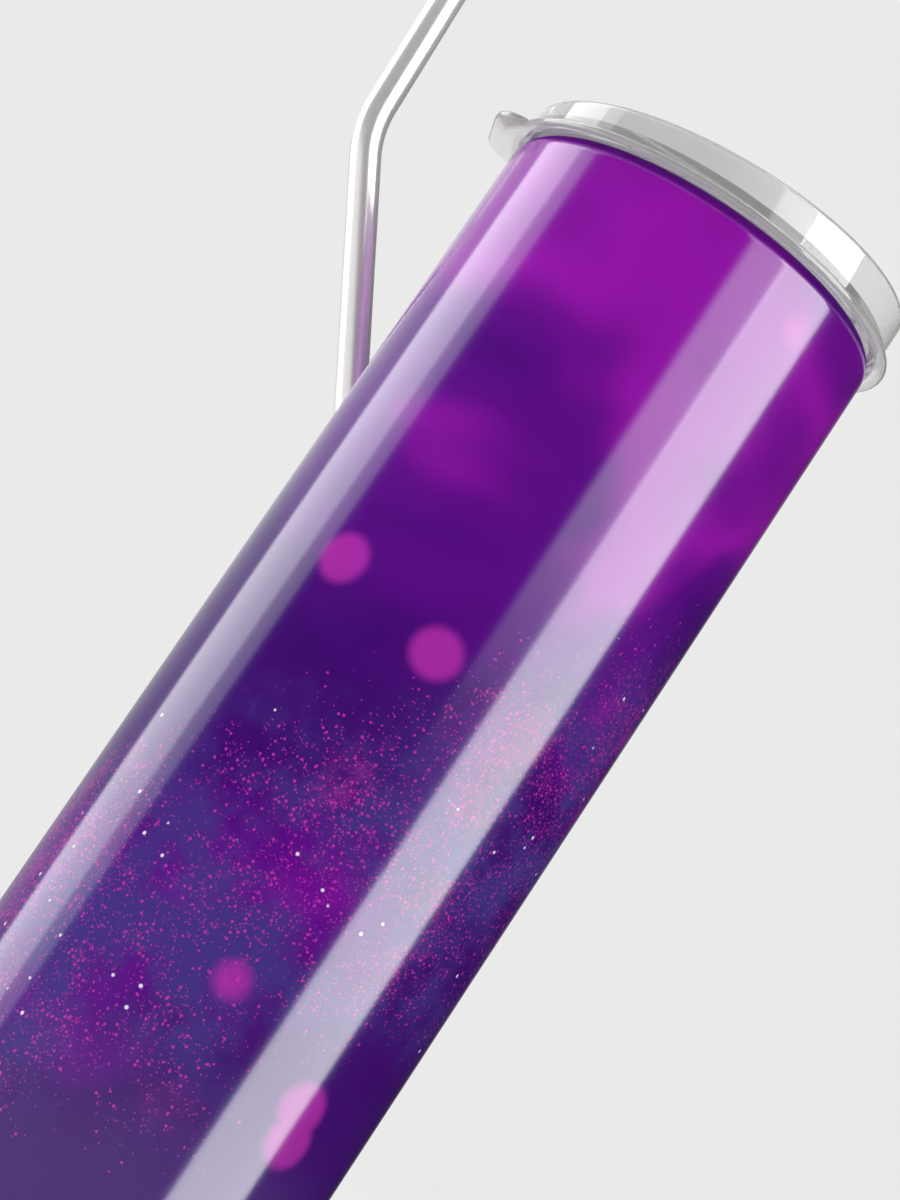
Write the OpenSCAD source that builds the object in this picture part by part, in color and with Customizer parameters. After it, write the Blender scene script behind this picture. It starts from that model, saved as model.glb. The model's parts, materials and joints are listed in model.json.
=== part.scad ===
// Slim vacuum-insulated tumbler with a clear press-in lid, a sliding closure and a bent straw.
// Millimetres. The origin is the centre of the foot ring on the table, and +Z points up.

/* [Body] */
// Outer diameter of the body
body_d = 73; // [64:0.5:90]
// Height from the table to the rim
body_h = 203; // [140:1:250]
// Wall of the outer shell
shell_wall = 0.8; // [0.5:0.1:1.2]
// Radius of the rolled shoulder below the rim
shoulder_r = 3.4; // [2.8:0.1:5]
// Radius of the rounded edge at the foot
foot_r = 2.4; // [1.6:0.1:4]
// Width of the flat ring that stands on the table
foot_ring = 2; // [1:0.1:4]

/* [Liner] */
// Wall of the inner liner
liner_wall = 0.8; // [0.5:0.1:1.2]
// Radius of the liner's floor corner
liner_corner_r = 8; // [4:0.5:14]
// Free height between the base plate and the liner's floor
liner_lift = 6; // [4:0.5:12]
// Thickness of the radiation foil in the vacuum gap
foil_t = 0.2; // [0.1:0.05:0.4]
// Bare length of liner at each end of the foil
foil_margin = 10; // [4:1:30]

/* [Base] */
// Thickness of the base plate
plate_t = 0.8; // [0.5:0.1:1.2]
// Height of the base plate's raised middle above the table
base_recess = 3.2; // [2.4:0.1:6]
// Width of the sloping band between the plate's rim and its middle
base_slope = 1.6; // [0.8:0.1:4]
// Radius of the dimple round the evacuation port
dimple_r = 6; // [4:0.5:9]
// Depth of the dimple
dimple_depth = 1.4; // [0.8:0.1:2]
// Radius of the evacuation port
port_r = 1; // [0.5:0.1:2]
// Radius of the getter pill
getter_r = 4; // [2:0.5:6]
// Height of the getter pill
getter_h = 2; // [1:0.1:3]
// Distance of the getter from the body's axis
getter_x = 18; // [16:0.5:20]
// Thickness of the getter's clip
clip_t = 0.3; // [0.2:0.1:0.6]
// Width of the getter's clip
clip_w = 3; // [1.5:0.5:5]

/* [Lid] */
// Overhang of the lid's flange past the body
flange_over = 2.5; // [1:0.1:5]
// Thickness of the flange
flange_t = 1.3; // [0.8:0.1:2.5]
// Drop of the flange's edge below the rim
flange_drop = 0.8; // [0.3:0.1:1]
// Overhang of the drum past the body
drum_over = 0.3; // [0:0.1:1]
// Wall of the drum
drum_wall = 2; // [1.4:0.1:3]
// Height of the drum's top above the rim, on the axis
drum_h = 7.6; // [6:0.1:14]
// Slope of the drum's top, high on the drinking side
drum_slant = 2.8; // [0:0.1:5]
// Height of the deck's underside above the rim
deck_lift = 1; // [0.6:0.1:2]
// Thickness of the deck
deck_t = 2; // [1.2:0.1:3]
// Width of the lift tab
tab_w = 25; // [14:0.5:40]
// Reach of the lift tab past the flange
tab_over = 3.4; // [2:0.1:8]
// Radius of the lift tab's corners
tab_corner_r = 6.8; // [1:0.1:6.8]
// Depth of the plug below the rim
plug_depth = 12; // [10:0.5:20]
// Wall of the plug
plug_wall = 2.2; // [1.8:0.1:3]
// Gap between the plug and the liner
plug_gap = 0.7; // [0.4:0.1:1.2]
// Depth of the gasket's groove
groove_depth = 1.1; // [0.8:0.1:1.4]
// Height of the gasket's groove
groove_h = 3.2; // [2.4:0.1:5]
// Distance of the groove's top below the rim
groove_drop = 4; // [2:0.1:6]
// Gap between the gasket's lips and the liner
gasket_gap = 0.2; // [0.1:0.05:0.3]
// Radius of the vent hole
vent_r = 0.9; // [0.5:0.1:1.5]
// Distance of the vent hole from the plug's inner wall
vent_inset = 5; // [3:0.5:8]

/* [Slider] */
// Room round the straw in its hole
hole_room = 1.5; // [0.5:0.1:2.5]
// Distance of the straw hole's centre from the plug's inner wall
hole_inset = 7.6; // [7:0.1:12]
// Length of the guide collar below the deck
collar_l = 4; // [2:0.5:8]
// Wall of the guide collar
collar_wall = 1.4; // [0.8:0.1:2]
// Lap of the slider's seal round the hole
seal_lap = 1.4; // [0.8:0.1:2]
// Margin of the slider round its seal
slider_edge = 1.3; // [0.8:0.1:2.5]
// Length of the slider
slider_l = 26; // [20:0.5:30]
// Thickness of the slider's side flanges
slider_flange_t = 1.2; // [0.9:0.1:2]
// Height of the slider above the deck, without its ridges
slider_h = 3.2; // [2.8:0.1:4]
// Height of the slider's underside above the deck
slider_lift = 0.6; // [0.4:0.1:1]
// Depth of the seal's seat in the slider
seal_seat = 0.6; // [0.3:0.1:0.7]
// Gap between the seal and the deck
seal_gap = 0.2; // [0.1:0.05:0.3]
// Reach of the rails over the slider's flanges
rail_grip = 1.2; // [0.8:0.1:2]
// Wall of the rails and of the stops at their ends
rail_wall = 1.2; // [0.8:0.1:2]
// Free way left between the open slider and the hole
slider_spare = 2.3; // [1:0.1:4]
// Radius of the thumb ridges
ridge_r = 0.7; // [0.4:0.1:1]
// Number of thumb ridges
ridge_count = 3; // [1:1:5]
// Running clearance between moving plastic faces
run_gap = 0.3; // [0.2:0.05:0.5]

/* [Straw] */
// Outer diameter of the straw
straw_d = 6; // [5:0.5:8]
// Wall of the straw
straw_wall = 0.5; // [0.3:0.1:0.8]
// Length of the straight lower leg
straw_leg_l = 224; // [180:1:260]
// Length of the straight upper leg
straw_tip_l = 42; // [20:1:80]
// Radius of the bend, on the straw's axis
straw_bend_r = 22; // [14:1:40]
// Angle of the bend
straw_bend = 28; // [10:1:45]
// Lean of the lower leg from upright
straw_lean = 31; // [20:1:40]
// Heading of the lean about the body's axis
straw_heading = 189.3; // [180:0.1:200]
// Level distance from the straw's foot to the place where it passes the wall
straw_run = 60; // [45:1:75]
// Gap between the leaning straw and the wall
straw_gap = 0.3; // [0.2:0.1:0.6]

/* [Hidden] */
$fn = 96;
arc_steps = 10;
bend_steps = 8;
straw_sides = 24;
cut = 1;
seat_gap = 0.05;

body_r = body_d / 2;
mouth_r = body_r - shoulder_r;
cup_r = mouth_r - liner_wall;
foot_flat_r = body_r - foot_r;
foot_in_r = foot_flat_r - foot_ring;

plate_top_z = base_recess + plate_t;
plate_slope_r = foot_in_r - base_slope;
dimple_z = base_recess + dimple_depth;
liner_z = plate_top_z + liner_lift;

flange_r = body_r + flange_over;
flange_z = body_h - flange_drop;
drum_r = body_r + drum_over;
deck_edge_r = drum_r - drum_wall / 2;
deck_z = body_h + deck_lift;
deck_top_z = deck_z + deck_t;
plug_r = cup_r - plug_gap;
plug_in_r = plug_r - plug_wall;
plug_chamfer = 0.6;
groove_z = body_h - groove_drop - groove_h;
groove_r = plug_r - groove_depth;

hole_r = straw_d / 2 + hole_room;
hole_x = plug_in_r - hole_inset;
seal_r = hole_r + seal_lap;
slider_half_w = seal_r + slider_edge;
slider_travel = hole_r + slider_half_w + slider_spare;
seal_x = hole_x - slider_travel;
slider_front_x = seal_x + slider_half_w;
slider_rear_x = slider_front_x - slider_l;
slider_z = deck_top_z + slider_lift;
slider_top_half_w = slider_half_w - rail_grip;
rail_rear_x = slider_rear_x - run_gap;
rail_front_x = slider_front_x + slider_travel + run_gap;
rail_in_y = slider_half_w + run_gap;
rail_lip_z = slider_z + slider_flange_t + run_gap;
rail_top_z = rail_lip_z + rail_wall;

straw_r = straw_d / 2;
straw_off = body_r + straw_r + straw_gap;
straw_foot = [
    straw_off * sin(straw_heading) - straw_run * cos(straw_heading),
    -straw_off * cos(straw_heading) - straw_run * sin(straw_heading),
    straw_r * sin(straw_lean)
];

// Points along an arc about a centre, from one angle to another
function arc(centre, r, from, to) =
    [for (i = [0:arc_steps]) let (a = from + (to - from) * i / arc_steps) centre + r * [cos(a), sin(a)]];

// A solid turned about the body's axis from an outline of radius and height
module turned(outline) {
    rotate_extrude() polygon(outline);
}

// A flat plate with round corners, from one corner to the other
module round_plate(low, high, r) {
    x_size = high[0] - low[0];
    y_size = high[1] - low[1];
    translate([low[0], low[1] + r]) square([x_size, y_size - 2 * r]);
    translate([low[0] + r, low[1]]) square([x_size - 2 * r, y_size]);
    for (x = [low[0] + r, high[0] - r], y = [low[1] + r, high[1] - r])
        translate([x, y]) circle(r);
}

// Printed outer wall, rolled in at the shoulder and at the foot
module outer_shell() {
    shoulder_c = [mouth_r, body_h - shoulder_r];
    foot_c = [foot_flat_r, foot_r];
    color("mediumpurple")
    turned(concat(
        [[foot_in_r, 0]],
        arc(foot_c, foot_r, -90, 0),
        arc(shoulder_c, shoulder_r, 0, 90),
        arc(shoulder_c, shoulder_r - shell_wall, 90, 0),
        arc(foot_c, foot_r - shell_wall, 0, -90),
        [[foot_in_r, shell_wall]]
    ));
}

// Deep-drawn cup that holds the drink, level with the shell at the mouth
module inner_liner() {
    corner_c = [mouth_r - liner_corner_r, liner_z + liner_corner_r];
    color("silver")
    turned(concat(
        [[0, liner_z]],
        arc(corner_c, liner_corner_r, -90, 0),
        [[mouth_r, body_h], [cup_r, body_h]],
        arc(corner_c, liner_corner_r - liner_wall, 0, -90),
        [[0, liner_z + liner_wall]]
    ));
}

// Radiation foil round the liner, inside the vacuum
module copper_foil() {
    foil_in_r = mouth_r + seat_gap;
    low_z = liner_z + liner_corner_r + foil_margin;
    high_z = body_h - shoulder_r - foil_margin;
    color("peru")
    turned([[foil_in_r, low_z], [foil_in_r + foil_t, low_z], [foil_in_r + foil_t, high_z], [foil_in_r, high_z]]);
}

// Stamped plate that closes the foot, with a raised middle and a dimple round the port
module base_plate() {
    dimple_out_r = dimple_r + dimple_depth;
    color("silver")
    turned([
        [foot_flat_r, shell_wall],
        [foot_in_r, shell_wall],
        [plate_slope_r, base_recess],
        [dimple_out_r, base_recess],
        [dimple_r, dimple_z],
        [port_r, dimple_z],
        [port_r, dimple_z + plate_t],
        [dimple_r, dimple_z + plate_t],
        [dimple_out_r, plate_top_z],
        [plate_slope_r, plate_top_z],
        [foot_in_r, shell_wall + plate_t],
        [foot_flat_r, shell_wall + plate_t]
    ]);
}

// Glass bead that fills the port and spreads under it in the dimple
module port_seal() {
    bead_r = dimple_r - dimple_depth;
    bead_t = dimple_depth * 0.6;
    stem_r = port_r - seat_gap;
    color("darkseagreen")
    turned([
        [0, dimple_z - bead_t],
        [bead_r / 2, dimple_z - bead_t * 0.85],
        [bead_r, dimple_z],
        [stem_r, dimple_z],
        [stem_r, dimple_z + plate_t],
        [0, dimple_z + plate_t]
    ]);
}

// Gas-absorbing pill on the vacuum side of the base plate
module getter() {
    chamfer = getter_h / 5;
    color("dimgray")
    translate([getter_x, 0, plate_top_z])
    turned([[0, 0], [getter_r, 0], [getter_r, getter_h - chamfer], [getter_r - chamfer, getter_h], [0, getter_h]]);
}

// Spring strap over the pill, welded to the base plate at its two feet
module getter_clip() {
    inner_y = getter_r + seat_gap;
    outer_y = inner_y + clip_t;
    foot_y = outer_y + clip_w;
    inner_z = getter_h + seat_gap;
    color("lightsteelblue")
    translate([getter_x - clip_w / 2, 0, plate_top_z])
    rotate([90, 0, 90])
    linear_extrude(clip_w)
    polygon([
        [-foot_y, 0], [-inner_y, 0], [-inner_y, inner_z], [inner_y, inner_z], [inner_y, 0], [foot_y, 0],
        [foot_y, clip_t], [outer_y, clip_t], [outer_y, inner_z + clip_t], [-outer_y, inner_z + clip_t],
        [-outer_y, clip_t], [-foot_y, clip_t]
    ]);
}

// Plug, flange and deck of the lid, all turned about the body's axis
module lid_core() {
    flange_c = [flange_r - flange_t / 2, flange_z + flange_t / 2];
    turned(concat(
        [
            [plug_in_r, body_h - plug_depth],
            [plug_r - plug_chamfer, body_h - plug_depth],
            [plug_r, body_h - plug_depth + plug_chamfer],
            [plug_r, groove_z],
            [groove_r, groove_z],
            [groove_r, groove_z + groove_h],
            [plug_r, groove_z + groove_h],
            [plug_r, body_h],
            [body_r, body_h],
            [body_r, flange_z]
        ],
        arc(flange_c, flange_t / 2, -90, 90),
        [
            [deck_edge_r, flange_z + flange_t],
            [deck_edge_r, deck_top_z],
            [0, deck_top_z],
            [0, deck_z],
            [plug_in_r, deck_z]
        ]
    ));
}

// Wall of the lid above the flange, with a round lip that slopes up to the drinking side
module lid_drum() {
    lip_r = drum_wall / 2;
    reach = drum_h + drum_r * tan(drum_slant);
    root_z = flange_z + flange_t / 2;
    intersection() {
        translate([0, 0, body_h + drum_h])
        rotate([0, -drum_slant, 0])
        turned(concat(
            [[drum_r - drum_wall, -reach - cut], [drum_r, -reach - cut]],
            arc([drum_r - lip_r, -lip_r], lip_r, 0, 180)
        ));
        translate([-flange_r, -flange_r, root_z]) cube([2 * flange_r, 2 * flange_r, 2 * reach]);
    }
}

// Flat lobe for the thumb, at the low side of the drum, rooted in the flange
module lid_tab() {
    tab_x = flange_r + tab_over;
    half_w = tab_w / 2;
    root_r = body_r + flange_over / 4;
    translate([0, 0, flange_z])
    linear_extrude(flange_t)
    difference() {
        union() {
            translate([tab_corner_r - tab_x, -half_w]) square([tab_x - tab_corner_r, tab_w]);
            translate([-tab_x, tab_corner_r - half_w]) square([tab_x, tab_w - 2 * tab_corner_r]);
            for (side = [-1, 1])
                translate([tab_corner_r - tab_x, side * (half_w - tab_corner_r)]) circle(tab_corner_r);
        }
        circle(root_r);
    }
}

// Undercut rails that guide the slider, with a low stop across each end
module lid_rails() {
    rail_l = rail_front_x - rail_rear_x;
    rail_out_y = rail_in_y + rail_wall;
    lip_y = slider_top_half_w + run_gap;
    stop_h = slider_lift + slider_flange_t / 2;
    for (side = [0, 1])
        mirror([0, side, 0])
        translate([rail_rear_x, 0, 0])
        rotate([90, 0, 90])
        linear_extrude(rail_l)
        polygon([
            [rail_in_y, deck_top_z - deck_t / 2], [rail_out_y, deck_top_z - deck_t / 2],
            [rail_out_y, rail_top_z], [lip_y, rail_top_z], [lip_y, rail_lip_z], [rail_in_y, rail_lip_z]
        ]);
    for (x = [rail_rear_x - rail_wall, rail_front_x])
        translate([x, -rail_out_y, deck_top_z - deck_t / 2])
        cube([rail_wall, 2 * rail_out_y, deck_t / 2 + stop_h]);
}

// Clear moulded lid
module lid() {
    vent_x = vent_inset - plug_in_r;
    color("gainsboro")
    difference() {
        union() {
            lid_core();
            lid_drum();
            lid_tab();
            lid_rails();
            translate([hole_x, 0, deck_z - collar_l])
            cylinder(r = hole_r + collar_wall, h = collar_l + deck_t / 2);
        }
        translate([hole_x, 0, deck_z - collar_l - cut]) cylinder(r = hole_r, h = collar_l + deck_t + 2 * cut);
        translate([vent_x, 0, deck_z - cut]) cylinder(r = vent_r, h = deck_t + 2 * cut);
    }
}

// Silicone ring in the plug's groove, with two lips towards the liner
module lid_gasket() {
    in_r = groove_r + seat_gap;
    lip_r = cup_r - gasket_gap;
    low_z = groove_z + seat_gap;
    high_z = groove_z + groove_h - seat_gap;
    mid_z = (low_z + high_z) / 2;
    lip_h = groove_h / 4;
    color("whitesmoke")
    turned([
        [in_r, low_z], [plug_r, low_z], [lip_r, low_z + lip_h], [plug_r, mid_z],
        [lip_r, high_z - lip_h / 2], [plug_r, high_z], [in_r, high_z]
    ]);
}

// Sliding closure with side flanges, thumb ridges and a seat for its seal
module slider() {
    grip_x = (slider_rear_x + seal_x) / 2;
    grip_step = 3 * ridge_r;
    top_z = deck_top_z + slider_h;
    color("gainsboro")
    difference() {
        union() {
            translate([0, 0, slider_z])
            linear_extrude(slider_flange_t)
            round_plate([slider_rear_x, -slider_half_w], [slider_front_x, slider_half_w], slider_edge);
            translate([0, 0, slider_z])
            linear_extrude(top_z - slider_z)
            round_plate(
                [slider_rear_x + rail_grip, -slider_top_half_w],
                [slider_front_x - rail_grip, slider_top_half_w],
                slider_edge
            );
            for (i = [0:ridge_count - 1])
                translate([grip_x + (i - (ridge_count - 1) / 2) * grip_step, 0, top_z])
                rotate([90, 0, 0])
                cylinder(r = ridge_r, h = 2 * (slider_top_half_w - rail_grip), center = true);
        }
        translate([seal_x, 0, slider_z - cut]) cylinder(r = seal_r + seat_gap, h = seal_seat + cut);
    }
}

// Silicone pad in the slider's seat
module slider_seal() {
    color("whitesmoke")
    translate([seal_x, 0, deck_top_z + seal_gap])
    cylinder(r = seal_r, h = slider_lift + seal_seat - seal_gap);
}

// Stations along the straw's axis, in the plane of its bend: [across, along, turn]
function straw_stations() = concat(
    [[0, 0, 0]],
    [for (i = [0:bend_steps]) let (a = straw_bend * i / bend_steps)
        [straw_bend_r * (cos(a) - 1), straw_leg_l + straw_bend_r * sin(a), a]],
    [[
        straw_bend_r * (cos(straw_bend) - 1) - straw_tip_l * sin(straw_bend),
        straw_leg_l + straw_bend_r * sin(straw_bend) + straw_tip_l * cos(straw_bend),
        straw_bend
    ]]
);

// Ring of points square to the axis at a station
function straw_ring(station, r) =
    [for (k = [0:straw_sides - 1]) let (t = 360 * k / straw_sides, a = station[2])
        [station[0] + r * cos(t) * cos(a), r * sin(t), station[1] + r * cos(t) * sin(a)]];

// Two triangles for four corners in turn
function two_triangles(a, b, c, d) = [[a, b, c], [a, c, d]];

// Bent steel tube that stands on the table and leans past the wall
module straw() {
    stations = straw_stations();
    last = len(stations) - 1;
    inner = len(stations) * straw_sides;
    points = [
        for (r = [straw_r, straw_r - straw_wall], station = stations)
            each straw_ring(station, r)
    ];
    faces = [
        for (k = [0:straw_sides - 1])
            let (n = (k + 1) % straw_sides, top = last * straw_sides)
            each concat(
                two_triangles(k, n, inner + n, inner + k),
                two_triangles(top + k, inner + top + k, inner + top + n, top + n),
                [
                    for (i = [0:last - 1])
                        let (low = i * straw_sides, high = low + straw_sides)
                        each concat(
                            two_triangles(low + k, high + k, high + n, low + n),
                            two_triangles(inner + low + k, inner + low + n, inner + high + n, inner + high + k)
                        )
                ]
            )
    ];
    color("lightgray")
    translate(straw_foot)
    rotate([0, straw_lean, straw_heading])
    polyhedron(points, faces);
}

outer_shell();
inner_liner();
copper_foil();
base_plate();
port_seal();
getter();
getter_clip();
lid();
lid_gasket();
slider();
slider_seal();
straw();
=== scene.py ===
"""Slim insulated tumbler with a clear press-in lid and a bent steel straw, in a pale studio."""

import json
import logging
import math
from contextlib import contextmanager
from dataclasses import dataclass, field
from enum import Enum
from typing import Any, Callable, Iterator, Sequence

import bmesh
import bpy
from mathutils import Matrix, Vector


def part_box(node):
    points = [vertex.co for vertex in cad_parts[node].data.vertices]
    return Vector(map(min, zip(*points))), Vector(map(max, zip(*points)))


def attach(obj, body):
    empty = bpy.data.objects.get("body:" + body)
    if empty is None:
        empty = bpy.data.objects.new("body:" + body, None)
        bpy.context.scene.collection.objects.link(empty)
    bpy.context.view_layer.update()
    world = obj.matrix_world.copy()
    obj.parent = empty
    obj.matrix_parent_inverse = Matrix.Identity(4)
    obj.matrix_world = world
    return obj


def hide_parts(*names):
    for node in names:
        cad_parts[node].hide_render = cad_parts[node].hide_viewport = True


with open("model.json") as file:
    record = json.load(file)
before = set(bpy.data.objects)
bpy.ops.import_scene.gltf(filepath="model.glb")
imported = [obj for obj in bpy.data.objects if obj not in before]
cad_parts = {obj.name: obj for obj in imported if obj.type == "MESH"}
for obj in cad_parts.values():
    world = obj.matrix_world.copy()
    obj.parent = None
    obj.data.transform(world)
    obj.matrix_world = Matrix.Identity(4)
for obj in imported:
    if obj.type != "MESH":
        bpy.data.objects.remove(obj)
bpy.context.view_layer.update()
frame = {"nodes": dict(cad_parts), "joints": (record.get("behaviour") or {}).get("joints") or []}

Piece = bpy.types.Object
Vert = bmesh.types.BMVert
Socket = bpy.types.NodeSocket
Point = tuple[float, float]
Triple = tuple[float, float, float]
Colour = tuple[float, float, float, float]
LOG = logging.getLogger("tumbler")

MM = 0.001
RING_SIDES = 192
POST_SIDES = 64
ARC_STEPS = 10
CORNER_STEPS = 8
WELD = 0.002 * MM
SMOOTH_ANGLE = math.radians(32.0)
BEVEL_ANGLE = math.radians(40.0)


class Caps(Enum):
    """Whether the ends of a turned outline are closed by flat faces."""

    NONE = "none"
    BOTH = "both"


class Join(Enum):
    """How a tool shape changes the shape that it is put to."""

    ADD = "UNION"
    CUT = "DIFFERENCE"


def arc(centre: Point, radius: float, start: float, end: float, steps: int = ARC_STEPS) -> list[Point]:
    """Points along an arc of an outline.

    Args:
        centre: Middle of the arc, as radius and height.
        radius: Radius of the arc.
        start: First angle, in degrees.
        end: Last angle, in degrees.
        steps: Number of straight steps.

    Returns:
        The points, both ends included.
    """
    angles = [math.radians(start + (end - start) * i / steps) for i in range(steps + 1)]
    return [(centre[0] + radius * math.cos(a), centre[1] + radius * math.sin(a)) for a in angles]


def deselect() -> None:
    """Leave nothing selected, so that an operator acts only on what is added next."""
    bpy.ops.object.select_all(action="DESELECT")


def pick(piece: Piece) -> None:
    """Make one piece the only selected and active object.

    Args:
        piece: The piece to select.
    """
    deselect()
    piece.select_set(True)
    bpy.context.view_layer.objects.active = piece


@contextmanager
def editing(piece: Piece) -> Iterator[None]:
    """Hold one piece in edit mode for the length of a with block.

    Args:
        piece: The piece to edit.

    Yields:
        Nothing: the block works on the piece by operators.
    """
    pick(piece)
    bpy.ops.object.mode_set(mode="EDIT")
    yield
    bpy.ops.object.mode_set(mode="OBJECT")


def select_verts(piece: Piece, wanted: Callable[[Vert], bool]) -> None:
    """Select the points of a piece in edit mode that pass a test.

    Args:
        piece: The piece that is in edit mode.
        wanted: Test on a point.
    """
    bpy.ops.mesh.select_all(action="DESELECT")
    mesh = bmesh.from_edit_mesh(piece.data)
    for vert in mesh.verts:
        vert.select = wanted(vert)
    mesh.select_flush(True)
    bmesh.update_edit_mesh(piece.data)


def named(name: str) -> Piece:
    """Name the object that was just added, and its mesh.

    Args:
        name: The name.

    Returns:
        The object.
    """
    piece = bpy.context.object
    piece.name = name
    piece.data.name = name
    return piece


def settle(piece: Piece) -> None:
    """Put a piece's place in its mesh, and smooth its round faces.

    Args:
        piece: The finished piece.
    """
    pick(piece)
    bpy.ops.object.transform_apply(location=True, rotation=True, scale=True)
    bpy.ops.object.shade_smooth_by_angle(angle=SMOOTH_ANGLE)


def close_up() -> None:
    """Merge doubled points and turn all faces outwards, in edit mode."""
    bpy.ops.mesh.select_all(action="SELECT")
    bpy.ops.mesh.remove_doubles(threshold=WELD)
    bpy.ops.mesh.normals_make_consistent(inside=False)


def turn(name: str, outline: Sequence[Point], caps: Caps = Caps.NONE, sides: int = RING_SIDES) -> Piece:
    """Make a round piece by drawing a ring along an outline about the vertical axis.

    Args:
        name: Name of the piece.
        outline: Radius and height of each ring. Equal ends give a closed tube.
        caps: Whether the end rings are filled.
        sides: Number of sides of a ring.

    Returns:
        The new piece, on the vertical axis.
    """
    radius, height = outline[0]
    deselect()
    bpy.ops.mesh.primitive_circle_add(vertices=sides, radius=radius, location=(0.0, 0.0, height))
    piece = named(name)
    bpy.ops.object.transform_apply(location=True, rotation=False, scale=False)
    with editing(piece):
        bpy.ops.mesh.select_all(action="SELECT")
        for next_radius, next_height in outline[1:]:
            rise = (0.0, 0.0, next_height - height)
            bpy.ops.mesh.extrude_edges_move(TRANSFORM_OT_translate={"value": rise})
            ratio = next_radius / radius
            centre = (0.0, 0.0, next_height)
            bpy.ops.transform.resize(value=(ratio, ratio, 1.0), center_override=centre)
            radius, height = next_radius, next_height
        if caps is Caps.BOTH:
            bpy.ops.mesh.edge_face_add()
            select_verts(piece, lambda vert: vert.index < sides)
            bpy.ops.mesh.edge_face_add()
        close_up()
    settle(piece)
    return piece


def post(name: str, x: float, radius: float, low: float, high: float) -> Piece:
    """Turn an upright round post that adds or cuts.

    Args:
        name: Name of the post.
        x: Distance from the body's axis.
        radius: Radius of the post.
        low: Height of its foot.
        high: Height of its top.

    Returns:
        The post.
    """
    piece = turn(name, [(radius, low), (radius, high)], Caps.BOTH, sides=POST_SIDES)
    piece.location.x = x
    settle(piece)
    return piece


def block(name: str, low: Vector, high: Vector) -> Piece:
    """Add a box from its lowest to its highest corner.

    Args:
        name: Name of the piece.
        low: Lowest corner.
        high: Highest corner.

    Returns:
        The box, with its place in its mesh.
    """
    deselect()
    bpy.ops.mesh.primitive_cube_add(size=1.0, location=(low + high) / 2, scale=high - low)
    piece = named(name)
    bpy.ops.object.transform_apply(location=True, rotation=True, scale=True)
    return piece


def round_edges(piece: Piece, width: float, wanted: Callable[[Vert], bool]) -> None:
    """Bevel the edges between the points that pass a test.

    Args:
        piece: The piece to change.
        width: Width of the bevel.
        wanted: Test on a point.
    """
    with editing(piece):
        bpy.ops.mesh.select_mode(type="VERT")
        select_verts(piece, wanted)
        bpy.ops.mesh.bevel(offset=width, segments=CORNER_STEPS, affect="EDGES", clamp_overlap=True)


def modify(piece: Piece, kind: str, **settings: Any) -> None:
    """Add a modifier to a piece, set its options and apply it.

    Args:
        piece: The piece to change.
        kind: Type of the modifier.
        settings: Options of the modifier.
    """
    pick(piece)
    bpy.ops.object.modifier_add(type=kind)
    modifier = piece.modifiers[-1]
    for key, value in settings.items():
        setattr(modifier, key, value)
    bpy.ops.object.modifier_apply(modifier=modifier.name)


def soften(piece: Piece, width: float, segments: int = 3) -> None:
    """Round every sharp edge of a piece by a bevel that is applied.

    Args:
        piece: The piece to change.
        width: Width of the bevel.
        segments: Number of steps across the bevel.
    """
    options = {"limit_method": "ANGLE", "angle_limit": BEVEL_ANGLE}
    modify(piece, "BEVEL", width=width, segments=segments, **options)


def twin(piece: Piece) -> Piece:
    """Copy a piece with a mesh of its own.

    Args:
        piece: The piece to copy.

    Returns:
        The copy, in the same place.
    """
    pick(piece)
    bpy.ops.object.duplicate(linked=False)
    return bpy.context.object


def combine(piece: Piece, tool: Piece, join: Join) -> None:
    """Add a tool shape to a piece or cut it away, and remove the tool.

    Args:
        piece: The piece that is changed.
        tool: The shape that is used up.
        join: Whether the tool is added or cut away.
    """
    modify(piece, "BOOLEAN", operation=join.value, solver="EXACT", object=tool)
    bpy.data.objects.remove(tool, do_unlink=True)


def seat(piece: Piece, material: bpy.types.Material, body: str, slot: str, *nodes: str) -> None:
    """Dress a finished piece, tie it to its body, and hide the solids that it stands for.

    Args:
        piece: The finished piece.
        material: Its material, which takes the place of any slots left by earlier steps.
        body: Name of the body that it moves with.
        slot: Name of the record's material slot; not used.
        nodes: Names of the solids that it replaces.
    """
    piece.data.materials.clear()
    piece.data.materials.append(material)
    for face in piece.data.polygons:
        face.material_index = 0
    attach(piece, body)
    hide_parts(*nodes)
    faces = len(piece.data.polygons)
    LOG.info("%s: %d faces, rides on %s, stands for %s", piece.name, faces, body, ", ".join(nodes))


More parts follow.
